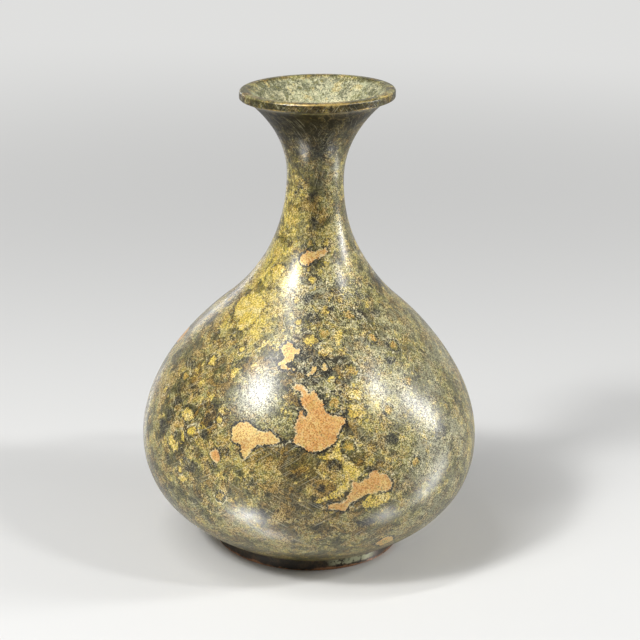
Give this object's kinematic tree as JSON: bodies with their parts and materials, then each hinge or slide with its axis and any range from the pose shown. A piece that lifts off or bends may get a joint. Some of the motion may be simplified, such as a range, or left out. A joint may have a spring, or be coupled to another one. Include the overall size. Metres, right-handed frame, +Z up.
{
  "type": "bottle vase",
  "caption": "Pear-shaped bronze bottle vase with a slender neck, trumpet mouth and thick lip; stands on a low foot ring and holds a stem or a small bunch of flowers.",
  "frame": {"origin": "centre of the circle that the foot ring rests on", "axes": "+Z up along the vase's axis, -Y towards the viewer of the picture, +X to the viewer's right"},
  "size_m": [0.1088, 0.1088, 0.15],
  "materials": {
    "patinated_bronze": "semi-gloss mottled olive, golden and grey-black patina with copper-pink patches",
    "foot_bronze": "dark satin, worn to pink bronze along the resting edge",
    "base_bronze": "dull brown, lightly scratched",
    "braze_metal": "dull yellow",
    "solder_metal": "dull grey"
  },
  "bodies": {
    "root": {"vessel_shell": "patinated_bronze", "foot_ring": "foot_bronze", "base_plate": "base_bronze", "foot_braze": "braze_metal", "base_solder": "solder_metal"}
  },
  "joints": []
}
